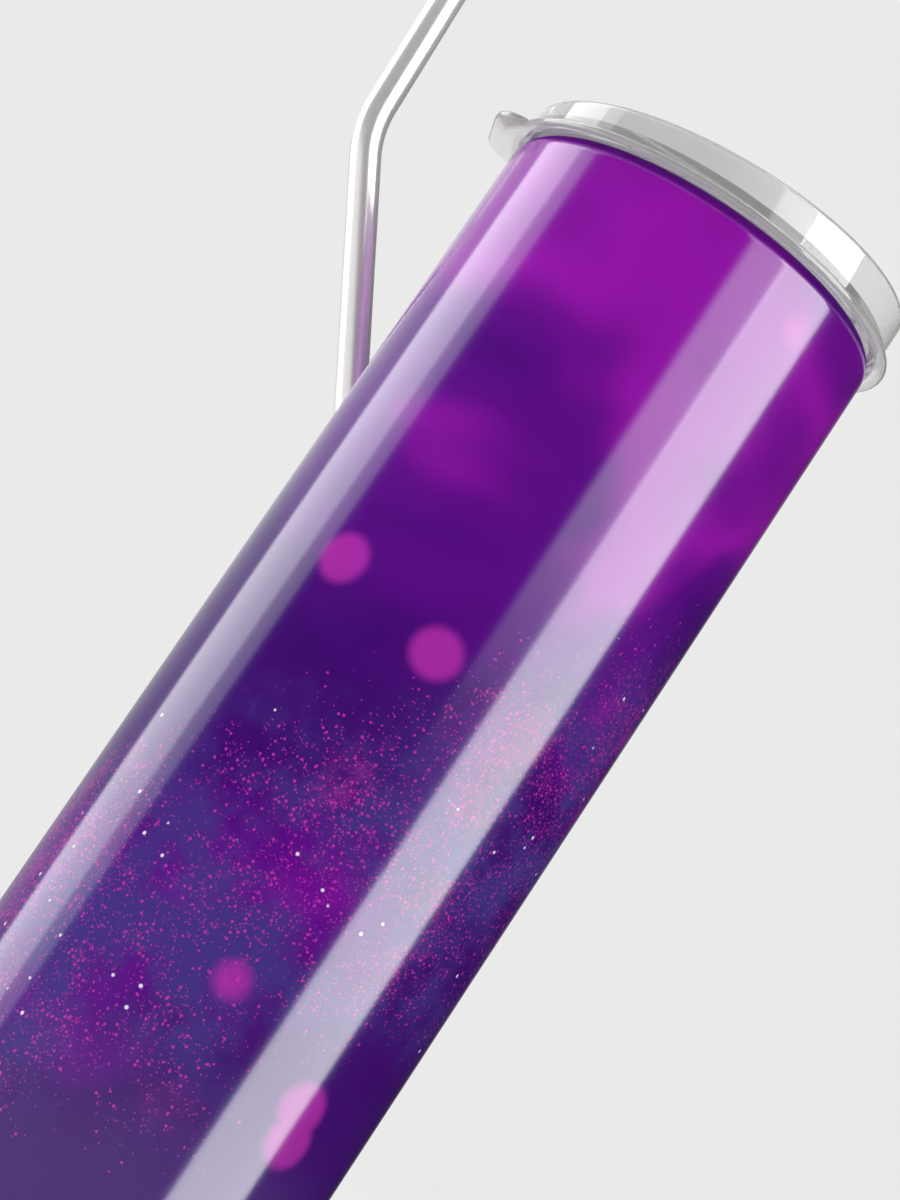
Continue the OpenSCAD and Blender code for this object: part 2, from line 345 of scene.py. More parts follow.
class Graph:
    """Nodes of one material, world or group, added and joined by short calls."""

    def __init__(self, tree: bpy.types.NodeTree, space: str = "") -> None:
        """Empty the tree, and add the coordinates of a space where one is named.

        Args:
            tree: The node tree.
            space: Name of an output of the Texture Coordinate node.
        """
        self.tree = tree
        tree.nodes.clear()
        self.coords = self.add("TexCoord").outputs[space] if space else None

    def add(self, kind: str, inputs: dict[str | int, Any] | None = None, **settings: Any) -> bpy.types.Node:
        """Add a node, set its options, and set or link its inputs.

        Args:
            kind: Node type without its ShaderNode prefix.
            inputs: Input name or number to a value, or to an output that is linked to it.
            settings: Options of the node.

        Returns:
            The new node.
        """
        full = kind if kind.startswith("Node") else "ShaderNode" + kind
        node = self.tree.nodes.new(full)
        for key, value in settings.items():
            setattr(node, key, value)
        for key, value in (inputs or {}).items():
            if isinstance(value, Socket):
                self.tree.links.new(value, node.inputs[key])
            else:
                node.inputs[key].default_value = value
        return node

    def axes(self) -> Sequence[Socket]:
        """Split the coordinates into x, y and z."""
        return self.add("SeparateXYZ", {0: self.coords}).outputs

    def noise(self, place: Socket, scale: Any, detail: float = 2.0, rough: float = 0.5) -> Socket:
        """Add a Noise Texture node and return its value."""
        inputs = {"Vector": place, "Scale": scale, "Detail": detail, "Roughness": rough}
        return self.add("TexNoise", inputs).outputs[0]

    def math(self, operation: str, *values: Any) -> Socket:
        """Add a Math node and return its output."""
        return self.add("Math", dict(enumerate(values)), operation=operation).outputs[0]

    def times(self, first: Any, second: Any) -> Socket:
        """Multiply two values and return the output."""
        return self.math("MULTIPLY", first, second)

    def ramp(self, factor: Socket, low: float, high: float) -> Socket:
        """Map a value smoothly from a range to 0 to 1, or to 1 to 0 where low is above high."""
        inputs = {"Value": factor, "From Min": low, "From Max": high}
        return self.add("MapRange", inputs, interpolation_type="SMOOTHSTEP").outputs[0]

    def mix(self, factor: Any, first: Any, second: Any) -> Socket:
        """Mix two colours by a factor, and return the output."""
        inputs = {0: factor, 6: first, 7: second}
        return self.add("Mix", inputs, data_type="RGBA").outputs[2]

    def blend(self, factor: Any, first: Any, second: Any) -> Socket:
        """Mix two values by a factor, and return the output."""
        return self.add("Mix", {0: factor, 2: first, 3: second}, data_type="FLOAT").outputs[0]

    def colours(self, factor: Socket, stops: Sequence[tuple[float, Colour]]) -> Socket:
        """Add a colour ramp.

        Args:
            factor: Value that picks the colour.
            stops: Place and colour of each stop.

        Returns:
            The colour output.
        """
        node = self.add("ValToRGB", {"Fac": factor})
        node.color_ramp.interpolation = "EASE"
        elements = node.color_ramp.elements
        while len(elements) < len(stops):
            elements.new(1.0)
        for element, (place, colour) in zip(elements, stops):
            element.position = place
            element.color = colour
        return node.outputs["Color"]


def surface_marks() -> bpy.types.NodeTree:
    """Group of fine marks that change a finish over its surface.

    Returns:
        A group with a vector, a scale and a low and high value, which puts out a value between the two
        and a height from 0 to 1.
    """
    name = "surface_marks"
    if name in bpy.data.node_groups:
        return bpy.data.node_groups[name]
    tree = bpy.data.node_groups.new(name, "ShaderNodeTree")
    tree.interface.new_socket("Vector", in_out="INPUT", socket_type="NodeSocketVector")
    for socket in ("Scale", "Low", "High"):
        tree.interface.new_socket(socket, in_out="INPUT", socket_type="NodeSocketFloat")
    for socket in ("Value", "Height"):
        tree.interface.new_socket(socket, in_out="OUTPUT", socket_type="NodeSocketFloat")
    graph = Graph(tree)
    given = graph.add("NodeGroupInput")
    fine = graph.noise(given.outputs["Vector"], given.outputs["Scale"], detail=6.0, rough=0.62)
    wide = graph.noise(given.outputs["Vector"], 22.0)
    height = graph.ramp(graph.times(fine, graph.ramp(wide, 0.2, 0.75)), 0.1, 0.6)
    limits = {"To Min": given.outputs["Low"], "To Max": given.outputs["High"]}
    value = graph.add("MapRange", {"Value": height, **limits})
    graph.add("NodeGroupOutput", {"Value": value.outputs[0], "Height": height})
    return tree


@dataclass(frozen=True)
class Marks:
    """Fine marks of one finish.

    Attributes:
        scale: Number of marks in a metre.
        low: Roughness where there are no marks.
        high: Roughness where the marks are strongest.
        depth: Height of the marks, in metres.
        stretch: Factors that draw the marks out along an axis.
        turned: Turn of the marks about the three axes, in radians.
    """

    scale: float
    low: float
    high: float
    depth: float = 0.0
    stretch: Triple = (1.0, 1.0, 1.0)
    turned: Triple = (0.0, 0.0, 0.0)

    def place(self, graph: Graph) -> dict[str, Any]:
        """Put the marks in a material.

        Args:
            graph: The material's nodes.

        Returns:
            Roughness and Normal outputs for a shader's inputs.
        """
        inputs = {"Vector": graph.coords, "Rotation": self.turned, "Scale": self.stretch}
        kind = "TEXTURE" if any(self.turned) else "POINT"
        mapped = graph.add("Mapping", inputs, vector_type=kind).outputs[0]
        inputs = {"Vector": mapped, "Scale": self.scale, "Low": self.low, "High": self.high}
        marks = graph.add("Group", inputs, node_tree=surface_marks())
        outputs = {"Roughness": marks.outputs["Value"]}
        if self.depth:
            inputs = {"Height": marks.outputs["Height"], "Distance": self.depth, "Strength": 1.0}
            outputs["Normal"] = graph.add("Bump", inputs).outputs[0]
        return outputs


def blank_material(name: str) -> tuple[bpy.types.Material, Graph]:
    """Add a material whose only node gives the coordinates on its surface.

    Args:
        name: Name of the material.

    Returns:
        The material, and its nodes.
    """
    material = bpy.data.materials.new(name)
    material.use_nodes = True
    return material, Graph(material.node_tree, "Object")


@dataclass(frozen=True)
class Finish:
    """A finish of one colour with fine marks.

    Attributes:
        name: Name of the material.
        colour: Main colour.
        second: Colour that the main one drifts to in soft patches.
        marks: Fine marks on the surface.
        constants: Inputs of the shader that are the same all over.
    """

    name: str
    colour: Colour
    second: Colour
    marks: Marks
    constants: dict[str, float] = field(default_factory=dict)

    def build(self) -> bpy.types.Material:
        """Make the material.

        Returns:
            A new material, or the one that was made before.
        """
        if self.name in bpy.data.materials:
            return bpy.data.materials[self.name]
        material, graph = blank_material(self.name)
        patches = graph.ramp(graph.noise(graph.coords, 60.0, detail=4.0), 0.35, 0.7)
        tint = graph.mix(patches, self.colour, self.second)
        marks = self.marks.place(graph)
        shader = graph.add("BsdfPrincipled", {"Base Color": tint, **self.constants, **marks})
        graph.add("OutputMaterial", {"Surface": shader.outputs[0]})
        return material


@dataclass(frozen=True)
class PrintedCoat:
    """Glossy print of violet and magenta clouds with drifts of glitter dust and soft discs.

    Attributes:
        edge: Height above which the print is darkened towards the deep colour and its coat thinned, as
            painted shade under the lid's flange.
        name: Name of the material.
        deep: Colour of the darkest clouds.
        violet: Colour of the middle clouds.
        magenta: Colour of the bright clouds.
        haze: Colour of the haze under the dust.
        dust: Colour of most dust specks.
        spark: Colour of the brightest specks.
        disc: Colour of the soft discs.
        swirl: Distance along each axis by which the clouds are bent.
        middle: Height at which the clouds keep their own tone.
        rise: Change of the clouds' tone for each metre of height.
        painted_light_slant: Change of the clouds' tone for each metre along x, which pushes the left side
            towards bright magenta as painted light for a brighter left side.
        sash: Height of the dust's sash on the axis.
        climb: Climb of the sash for each metre along x.
        core: Half the height of the sash's full part.
        reach: Half the height of the whole sash.
        ragged: Height by which the sash is ragged.
        blur: Half the height over which the painted shade comes in.
    """

    edge: float
    name: str = "cloud_print"
    deep: Colour = (0.050, 0.001, 0.165, 1.0)
    violet: Colour = (0.110, 0.001, 0.250, 1.0)
    magenta: Colour = (0.300, 0.004, 0.400, 1.0)
    haze: Colour = (0.055, 0.034, 0.240, 1.0)
    dust: Colour = (0.640, 0.035, 0.420, 1.0)
    spark: Colour = (0.880, 0.720, 0.920, 1.0)
    disc: Colour = (0.560, 0.030, 0.480, 1.0)
    swirl: Triple = (90.0 * MM, 90.0 * MM, 50.0 * MM)
    middle: float = 120.0 * MM
    rise: float = 1.3
    painted_light_slant: float = -1.4
    sash: float = 105.0 * MM
    climb: float = 0.9
    core: float = 10.0 * MM
    reach: float = 50.0 * MM
    ragged: float = 70.0 * MM
    blur: float = 0.4 * MM

    def clouds(self, graph: Graph) -> Socket:
        """Colour of the clouds, from slow noise that is bent by slower noise.

        Args:
            graph: The material's nodes.

        Returns:
            The colour's output.
        """
        bend = graph.add("TexNoise", {"Vector": graph.coords, "Scale": 9.0, "Detail": 1.0}).outputs["Color"]
        amount = graph.add("VectorMath", {0: bend, 1: self.swirl}, operation="MULTIPLY")
        bent = graph.add("VectorMath", {0: graph.coords, 1: amount.outputs[0]}, operation="ADD").outputs[0]
        slow = graph.noise(bent, 13.0, detail=3.0, rough=0.45)
        x, _, z = graph.axes()
        above = graph.math("SUBTRACT", z, self.middle)
        lifted = graph.math("MULTIPLY_ADD", above, self.rise, slow)
        # Painted light: the tone rises towards the left side, so the left side prints brighter magenta.
        tone = graph.math("MULTIPLY_ADD", x, self.painted_light_slant, lifted)
        stops = [(0.39, self.deep), (0.49, self.violet), (0.59, self.magenta), (0.74, self.violet)]
        return graph.colours(tone, stops)

    def drift(self, graph: Graph) -> Socket:
        """Mask of the dust: a ragged sash that climbs round the wall.

        Args:
            graph: The material's nodes.

        Returns:
            The mask's output.
        """
        x, _, z = graph.axes()
        tufts = graph.noise(graph.coords, 34.0, detail=5.0, rough=0.6)
        height = graph.math("SUBTRACT", z, graph.times(x, self.climb))
        sway = graph.math("MULTIPLY_ADD", tufts, self.ragged, height)
        away = graph.math("ABSOLUTE", graph.math("SUBTRACT", sway, self.sash))
        return graph.ramp(away, self.reach, self.core)

    def specks(self, graph: Graph, scale: float, size: float, share: Any) -> Socket:
        """Mask of round specks in a share of the cells of a fine grid.

        Args:
            graph: The material's nodes.
            scale: Number of cells in a metre.
            size: Radius of a speck as a share of its cell.
            share: Share of the cells that hold a speck, as a value or an output.

        Returns:
            The mask's output.
        """
        cells = graph.add("TexVoronoi", {"Vector": graph.coords, "Scale": scale, "Randomness": 1.0})
        dot = graph.ramp(cells.outputs["Distance"], size, size * 0.6)
        chance = graph.add("SeparateColor", {0: cells.outputs["Color"]}).outputs[0]
        return graph.times(dot, graph.math("LESS_THAN", chance, share))

    def build(self) -> bpy.types.Material:
        """Make the material, layer by layer over the clouds.

        Returns:
            The printed coat.
        """
        material, graph = blank_material(self.name)
        drift = self.drift(graph)
        wisps = graph.noise(graph.coords, 70.0, detail=6.0, rough=0.6)
        puffs = graph.noise(graph.coords, 48.0, detail=7.0, rough=0.7)
        clumps = graph.times(drift, graph.blend(graph.ramp(puffs, 0.38, 0.62), 0.10, 0.62))
        sparse = graph.times(drift, 0.13)
        # Painted shade: a band under the rim that stands in for the shade under the lid's flange.
        edge = graph.ramp(graph.axes()[2], self.edge - self.blur, self.edge + self.blur)
        layers = (
            (graph.times(graph.ramp(wisps, 0.36, 0.6), drift), 0.9, self.haze),
            (graph.times(graph.ramp(puffs, 0.52, 0.76), drift), 0.5, self.dust),
            (self.specks(graph, scale=46.0, size=0.26, share=0.16), 0.65, self.disc),
            (self.specks(graph, scale=1200.0, size=0.38, share=clumps), 0.75, self.dust),
            (self.specks(graph, scale=2500.0, size=0.44, share=clumps), 0.65, self.dust),
            (self.specks(graph, scale=460.0, size=0.19, share=sparse), 1.0, self.spark),
            # The painted shade band is darkened towards the deep colour.
            (edge, 0.7, self.deep),
        )
        colour = self.clouds(graph)
        for mask, strength, tint in layers:
            colour = graph.mix(graph.times(mask, strength), colour, tint)
        # The coat is thinned along the painted shade band, so the band shows no gloss.
        coat = graph.math("MULTIPLY_ADD", edge, -0.9, 1.0)
        peel = Marks(scale=500.0, low=0.32, high=0.45, depth=0.0012 * MM).place(graph)
        shader = graph.add("BsdfPrincipled", {
            "Base Color": colour, "Specular IOR Level": 0.0,
            "Coat Weight": coat, "Coat Roughness": 0.12, **peel,
        })
        graph.add("OutputMaterial", {"Surface": shader.outputs[0]})
        return material


STEEL = Finish(
    name="satin_steel", colour=(0.68, 0.67, 0.66, 1.0), second=(0.74, 0.735, 0.73, 1.0),
    marks=Marks(scale=1400.0, low=0.16, high=0.34, depth=0.002 * MM, stretch=(0.05, 0.05, 1.0)),
    constants={"Metallic": 0.75},
)
COPPER = Finish(
    name="crinkled_copper", colour=(0.78, 0.40, 0.24, 1.0), second=(0.86, 0.48, 0.31, 1.0),
    marks=Marks(scale=260.0, low=0.15, high=0.32, depth=0.05 * MM), constants={"Metallic": 1.0},
)
GETTER_ALLOY = Finish(
    name="sintered_alloy", colour=(0.10, 0.10, 0.11, 1.0), second=(0.17, 0.165, 0.16, 1.0),
    marks=Marks(scale=2600.0, low=0.55, high=0.8, depth=0.03 * MM), constants={"Metallic": 0.7},
)
SEAL_GLASS = Finish(
    name="bead_glass", colour=(0.22, 0.34, 0.29, 1.0), second=(0.28, 0.38, 0.34, 1.0),
    marks=Marks(scale=700.0, low=0.04, high=0.12), constants={"Transmission Weight": 0.6, "IOR": 1.52},
)
CLEAR_PLASTIC = Finish(
    name="moulded_clear", colour=(0.965, 0.965, 0.96, 1.0), second=(0.975, 0.975, 0.97, 1.0),
    marks=Marks(scale=240.0, low=0.015, high=0.05, depth=0.002 * MM),
    constants={"Transmission Weight": 0.8, "IOR": 1.49},
)
SILICONE = Finish(
    name="milky_silicone", colour=(0.80, 0.81, 0.82, 1.0), second=(0.86, 0.86, 0.86, 1.0),
    marks=Marks(scale=1800.0, low=0.42, high=0.6, depth=0.004 * MM),
)


@dataclass
class Vessel:
    """Double-walled body: printed shell, liner, base plate and what the vacuum gap holds.

    Attributes:
        shell_wall: Wall of the outer shell.
        shoulder_r: Radius of the rolled shoulder.
        foot_r: Radius of the rounded foot.
        foot_ring: Width of the ring that stands on the table.
        liner_wall: Wall of the liner.
        liner_corner_r: Radius of the liner's floor corner.
        plate_t: Thickness of the base plate.
        plate_rise: Height of the base plate's raised middle.
        plate_slope: Width of the plate's sloping band.
        dimple_r: Radius of the dimple round the port.
        dimple_depth: Depth of the dimple.
        port_r: Radius of the port.
        painted_shade_drop: Distance below the rim of the painted shade band, which stands in for the shade
            under the lid's flange.
    """

    shell_wall: float = 0.8 * MM
    shoulder_r: float = 3.4 * MM
    foot_r: float = 2.4 * MM
    foot_ring: float = 2.0 * MM
    liner_wall: float = 0.8 * MM
    liner_corner_r: float = 8.0 * MM
    plate_t: float = 0.8 * MM
    plate_rise: float = 3.2 * MM
    plate_slope: float = 1.6 * MM
    dimple_r: float = 6.0 * MM
    dimple_depth: float = 1.4 * MM
    port_r: float = 1.0 * MM
    painted_shade_drop: float = 2.448 * MM

    def __post_init__(self) -> None:
        """Take the main sizes from the solids."""
        low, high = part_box("outer_shell")
        self.radius = (high.x - low.x) / 2
        self.rim = high.z
        self.mouth_r = self.radius - self.shoulder_r
        self.cup_r = self.mouth_r - self.liner_wall
        self.foot_flat_r = self.radius - self.foot_r
        self.foot_in_r = self.foot_flat_r - self.foot_ring

    def build_shell(self) -> None:
        """Turn the printed outer shell."""
        shoulder = (self.mouth_r, self.rim - self.shoulder_r)
        foot = (self.foot_flat_r, self.foot_r)
        outline = [(self.foot_in_r, 0.0)]
        outline += arc(foot, self.foot_r, -90.0, 0.0)
        outline += arc(shoulder, self.shoulder_r, 0.0, 90.0, steps=16)
        outline += arc(shoulder, self.shoulder_r - self.shell_wall, 90.0, 0.0)
        outline += arc(foot, self.foot_r - self.shell_wall, 0.0, -90.0)
        outline += [(self.foot_in_r, self.shell_wall), outline[0]]
        shell = turn("printed_shell", outline)
        # The printed coat is darkened above this height as painted shade under the lid's flange.
        coat = PrintedCoat(edge=self.rim - self.painted_shade_drop)
        seat(shell, coat.build(), "vessel", "printed_coat", "outer_shell")

    def build_liner(self) -> None:
        """Turn the drawn liner that holds the drink."""
        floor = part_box("inner_liner")[0].z
        corner = (self.mouth_r - self.liner_corner_r, floor + self.liner_corner_r)
        outline = arc(corner, self.liner_corner_r, -90.0, 0.0)
        outline += [(self.mouth_r, self.rim), (self.cup_r, self.rim)]
        outline += arc(corner, self.liner_corner_r - self.liner_wall, 0.0, -90.0)
        liner = turn("drawn_liner", outline, Caps.BOTH)
        seat(liner, STEEL.build(), "vessel", "steel", "inner_liner")

    def build_base(self) -> None:
        """Turn the stamped base plate with its dimple and port."""
        slope_r = self.foot_in_r - self.plate_slope
        dimple_out_r = self.dimple_r + self.dimple_depth
        dimple_z = self.plate_rise + self.dimple_depth
        under = [
            (self.foot_flat_r, self.shell_wall), (self.foot_in_r, self.shell_wall),
            (slope_r, self.plate_rise), (dimple_out_r, self.plate_rise),
            (self.dimple_r, dimple_z), (self.port_r, dimple_z),
        ]
        over = [(radius, height + self.plate_t) for radius, height in reversed(under)]
        base = turn("stamped_base", under + over + under[:1])
        seat(base, STEEL.build(), "vessel", "steel", "base_plate")

    def dress_inner(self) -> None:
        """Give the sealed inner pieces their finishes."""
        dress_solid("copper_foil", COPPER)
        dress_solid("port_seal", SEAL_GLASS)
        dress_solid("getter", GETTER_ALLOY)
        dress_solid("getter_clip", STEEL)


def dress_solid(node: str, finish: Finish) -> None:
    """Give a solid that is shown as it is a finish.

    Args:
        node: Name of the solid.
        finish: Its finish.
    """
    materials = frame["nodes"][node].data.materials
    materials.clear()
    materials.append(finish.build())
    LOG.info("%s: shown as it is, in %s", node, finish.name)


@dataclass
class Slider:
    """Clear sliding closure with a silicone pad below.

    Attributes:
        flange_t: Thickness of the side flanges.
        grip: Width of the side flanges.
        ridge_r: Radius of the thumb ridges.
        ridge_bevel: Bevel at the ends of the thumb ridges.
        ridge_count: Number of thumb ridges.
        edge_r: Radius of the rounded edges.
        pad_gap: Gap between the pad and its seat.
        pad_edge_r: Radius of the pad's lower edge.
    """

    flange_t: float = 1.2 * MM
    grip: float = 1.2 * MM
    ridge_r: float = 0.7 * MM
    ridge_bevel: float = 0.28 * MM
    ridge_count: int = 3
    edge_r: float = 0.25 * MM
    pad_gap: float = 0.05 * MM
    pad_edge_r: float = 0.3 * MM

    def build_plate(self) -> None:
        """Shape the plate: side flanges, raised middle, seat for the pad and thumb ridges."""
        low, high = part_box("slider")
        pad_low, pad_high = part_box("slider_seal")
        top = high.z - self.ridge_r
        plate = block("slider_plate", low, Vector((high.x, high.y, low.z + self.flange_t)))
        with editing(plate):
            bpy.ops.mesh.select_mode(type="FACE")
            select_verts(plate, lambda v: v.co.z > low.z + WELD)
            bpy.ops.mesh.inset(thickness=self.grip)
            rise = (0.0, 0.0, top - low.z - self.flange_t)
            bpy.ops.mesh.extrude_region_move(TRANSFORM_OT_translate={"value": rise})
        soften(plate, self.edge_r)
        pad_x = (pad_low.x + pad_high.x) / 2
        seat_r = (pad_high.x - pad_low.x) / 2 + self.pad_gap
        combine(plate, post("pad_seat", pad_x, seat_r, low.z - MM, pad_high.z), Join.CUT)
        grip_x = (low.x + pad_x) / 2
        length = high.y - low.y - 4 * self.grip
        pitch = 3 * self.ridge_r
        ridge = self.ridge(grip_x - pitch * (self.ridge_count - 1) / 2, top, length)
        ridges = [ridge] + [twin(ridge) for _ in range(self.ridge_count - 1)]
        for index, copy in enumerate(ridges):
            copy.location.x = index * pitch
            settle(copy)
            combine(plate, copy, Join.ADD)
        settle(plate)
        seat(plate, CLEAR_PLASTIC.build(), "slider", "clear_plastic", "slider")

    def ridge(self, x: float, height: float, length: float) -> Piece:
        """Thumb ridge across the plate, with bevelled ends.

        Args:
            x: Place along the slider.
            height: Height of the ridge's axis.
            length: Length across the slider.

        Returns:
            The ridge.
        """
        half = length / 2
        ends = [(self.ridge_r - self.ridge_bevel, -half), (self.ridge_r, self.ridge_bevel - half)]
        outline = ends + [(ring_r, -place) for ring_r, place in reversed(ends)]
        ridge = turn("ridge", outline, Caps.BOTH, sides=32)
        ridge.rotation_euler = (math.radians(90.0), 0.0, 0.0)
        ridge.location = (x, 0.0, height)
        settle(ridge)
        return ridge

    def build_pad(self) -> None:
        """Turn the silicone pad with a rounded edge."""
        low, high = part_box("slider_seal")
        radius = (high.x - low.x) / 2
        edge = self.pad_edge_r
        outline = arc((radius - edge, low.z + edge), edge, -90.0, 0.0, steps=6) + [(radius, high.z)]
        pad = turn("slider_pad", outline, Caps.BOTH, sides=96)
        pad.location.x = (low.x + high.x) / 2
        settle(pad)
        seat(pad, SILICONE.build(), "slider", "silicone", "slider_seal")


@dataclass
class Lid:
    """Clear press-in lid with its flange, sloping drum, lift tab, slider rails and gasket.

    Attributes:
        vessel: The body that the lid closes.
        slider: The closure that runs in the lid's rails.
        flange_over: Overhang of the flange past the body.
        flange_t: Thickness of the flange.
        flange_drop: Drop of the flange's edge below the rim.
        drum_over: Overhang of the drum past the body.
        drum_wall: Wall of the drum.
        drum_h: Height of the drum's top above the rim, on the axis.
        drum_slant: Slope of the drum's top, in degrees.
        deck_lift: Height of the deck's underside above the rim.
        deck_t: Thickness of the deck.
        tab_w: Width of the lift tab.
        tab_corner_r: Radius of the tab's corners.
        tab_edge_r: Radius of the tab's rounded edges.
        tab_trim: Depth of the tab's faces below the flange's.
        plug_depth: Depth of the plug below the rim.
        plug_wall: Wall of the plug.
        plug_gap: Gap between the plug and the liner.
        plug_chamfer: Chamfer at the plug's foot.
        groove_depth: Depth of the gasket's groove.
        groove_h: Height of the gasket's groove.
        groove_drop: Distance of the groove's top below the rim.
        gasket_gap: Gap between the gasket and the groove's floor.
        lip_edge_r: Radius of the gasket's lips.
        hole_inset: Distance of the straw hole's centre from the plug's inner wall.
        hole_r: Radius of the straw hole.
        collar_l: Length of the straw hole's collar.
        collar_wall: Wall of the collar.
        vent_r: Radius of the vent hole.
        vent_inset: Distance of the vent hole from the plug's inner wall.
        rail_wall: Wall of the rails.
        stop_edge_r: Radius of the stops' rounded edges.
        run_gap: Running clearance of the slider.
    """

    vessel: Vessel
    slider: Slider
    flange_over: float = 2.5 * MM
    flange_t: float = 1.3 * MM
    flange_drop: float = 0.8 * MM
    drum_over: float = 0.3 * MM
    drum_wall: float = 2.0 * MM
    drum_h: float = 7.6 * MM
    drum_slant: float = 2.8
    deck_lift: float = 1.0 * MM
    deck_t: float = 2.0 * MM
    tab_w: float = 25.0 * MM
    tab_corner_r: float = 6.8 * MM
    tab_edge_r: float = 0.546 * MM
    tab_trim: float = 0.02 * MM
    plug_depth: float = 12.0 * MM
    plug_wall: float = 2.2 * MM
    plug_gap: float = 0.7 * MM
    plug_chamfer: float = 0.6 * MM
    groove_depth: float = 1.1 * MM
    groove_h: float = 3.2 * MM
    groove_drop: float = 4.0 * MM
    gasket_gap: float = 0.05 * MM
    lip_edge_r: float = 0.12 * MM
    hole_inset: float = 7.6 * MM
    hole_r: float = 4.5 * MM
    collar_l: float = 4.0 * MM
    collar_wall: float = 1.4 * MM
    vent_r: float = 0.9 * MM
    vent_inset: float = 5.0 * MM
    rail_wall: float = 1.2 * MM
    stop_edge_r: float = 0.15 * MM
    run_gap: float = 0.3 * MM

    def __post_init__(self) -> None:
        """Work out the heights and radii that the lid's shapes share."""
        body = self.vessel
        self.flange_r = body.radius + self.flange_over
        self.flange_z = body.rim - self.flange_drop
        self.drum_r = body.radius + self.drum_over
        self.deck_z = body.rim + self.deck_lift
        self.deck_top = self.deck_z + self.deck_t
        self.plug_r = body.cup_r - self.plug_gap
        self.plug_in_r = self.plug_r - self.plug_wall
        self.groove_r = self.plug_r - self.groove_depth
        self.groove_z = body.rim - self.groove_drop - self.groove_h
        self.hole_x = self.plug_in_r - self.hole_inset
        low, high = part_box("slider")
        travel = next(j for j in frame["joints"] if j["name"] == "slider_slide")["range_m"][1]
        self.slider_z = low.z
        self.rail_rear = low.x - self.run_gap
        self.rail_front = high.x + travel + self.run_gap
        self.rail_y = high.y + self.run_gap
        self.rail_z = self.deck_top - self.deck_t / 2

    def outline(self) -> list[Point]:
        """Closed outline of the plug, flange, drum and deck.

        Returns:
            Radius and height of each ring, from the plug's inner wall round to the deck's underside.
        """
        rim = self.vessel.rim
        foot = rim - self.plug_depth
        edge_r = self.flange_t / 2
        lip_r = self.drum_wall / 2
        inner_r = self.drum_r - self.drum_wall
        groove_top = self.groove_z + self.groove_h
        points = [
            (self.plug_in_r, self.deck_z), (self.plug_in_r, foot),
            (self.plug_r - self.plug_chamfer, foot), (self.plug_r, foot + self.plug_chamfer),
            (self.plug_r, self.groove_z), (self.groove_r, self.groove_z),
            (self.groove_r, groove_top), (self.plug_r, groove_top), (self.plug_r, rim),
            (self.vessel.radius, rim), (self.vessel.radius, self.flange_z),
        ]
        points += arc((self.flange_r - edge_r, self.flange_z + edge_r), edge_r, -90.0, 90.0)
        points += [(self.drum_r, self.flange_z + self.flange_t)]
        points += arc((self.drum_r - lip_r, rim + self.drum_h - lip_r), lip_r, 0.0, 180.0, steps=14)
        points += [(inner_r, self.deck_top)]
        return points

    def build_shell(self) -> None:
        """Turn the lid, slope its lip, and add its tab, collar, rails and holes."""
        shell = turn("clear_lid", self.outline(), Caps.BOTH)
        lip_start = self.vessel.rim + self.drum_h - self.drum_wall / 2 - WELD
        with editing(shell):
            bpy.ops.mesh.select_mode(type="VERT")
            select_verts(shell, lambda vert: vert.co.z > lip_start)
            bpy.ops.transform.rotate(value=math.radians(self.drum_slant), orient_axis="Y",
                                     center_override=(0.0, 0.0, self.vessel.rim + self.drum_h))
        combine(shell, self.tab(), Join.ADD)
        collar_z = self.deck_z - self.collar_l
        collar_r = self.hole_r + self.collar_wall
        deck_middle = self.deck_z + self.deck_t / 2
        combine(shell, post("collar", self.hole_x, collar_r, collar_z, deck_middle), Join.ADD)
        rail = self.rail()
        other_rail = twin(rail)
        other_rail.scale.y = -1.0
        settle(other_rail)
        with editing(other_rail):
            close_up()
        for extra in (rail, other_rail, *self.stops()):
            combine(shell, extra, Join.ADD)
        above = self.deck_top + MM
        combine(shell, post("hole", self.hole_x, self.hole_r, collar_z - MM, above), Join.CUT)
        vent_x = self.vent_inset - self.plug_in_r
        combine(shell, post("vent", vent_x, self.vent_r, self.deck_z - MM, above), Join.CUT)
        settle(shell)
        seat(shell, CLEAR_PLASTIC.build(), "lid", "clear_plastic", "lid")

    def tab(self) -> Piece:
        """Flat lobe at the low side of the drum, with round corners.

        Returns:
            The lobe, rooted in the flange.
        """
        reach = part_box("lid")[0].x
        flange_top = self.flange_z + self.flange_t
        low = Vector((reach, -self.tab_w / 2, self.flange_z + self.tab_trim))
        high = Vector((self.tab_w - self.flange_r, self.tab_w / 2, flange_top - self.tab_trim))
        tab = block("tab", low, high)
        edge = reach + WELD
        corner_y = self.tab_w / 2 - WELD
        for side in (-1.0, 1.0):
            round_edges(tab, self.tab_corner_r, lambda v: v.co.x < edge and side * v.co.y > corner_y)
        soften(tab, self.tab_edge_r, segments=5)
        root_r = self.vessel.radius + self.flange_over / 4
        combine(tab, post("root", 0.0, root_r, self.flange_z - MM, flange_top + MM), Join.CUT)
        return tab

    def rail(self) -> Piece:
        """Undercut rail along the back side of the slider.

        Returns:
            The rail, as a wall with a lip.
        """
        inner = self.rail_y
        lip_low = self.slider_z + self.slider.flange_t + self.run_gap
        low = Vector((self.rail_rear, inner, self.rail_z))
        high = Vector((self.rail_front, inner + self.rail_wall, lip_low + self.rail_wall))
        wall = block("rail", low, high)
        with editing(wall):
            bpy.ops.mesh.select_all(action="SELECT")
            bpy.ops.mesh.bisect(plane_co=(0.0, 0.0, lip_low), plane_no=(0.0, 0.0, 1.0))
            bpy.ops.mesh.select_mode(type="VERT")
            select_verts(wall, lambda v: v.co.y < inner + WELD and v.co.z > lip_low - WELD)
            bpy.ops.mesh.extrude_region_move(TRANSFORM_OT_translate={"value": (0.0, -self.rail_wall, 0.0)})
            close_up()
        return wall

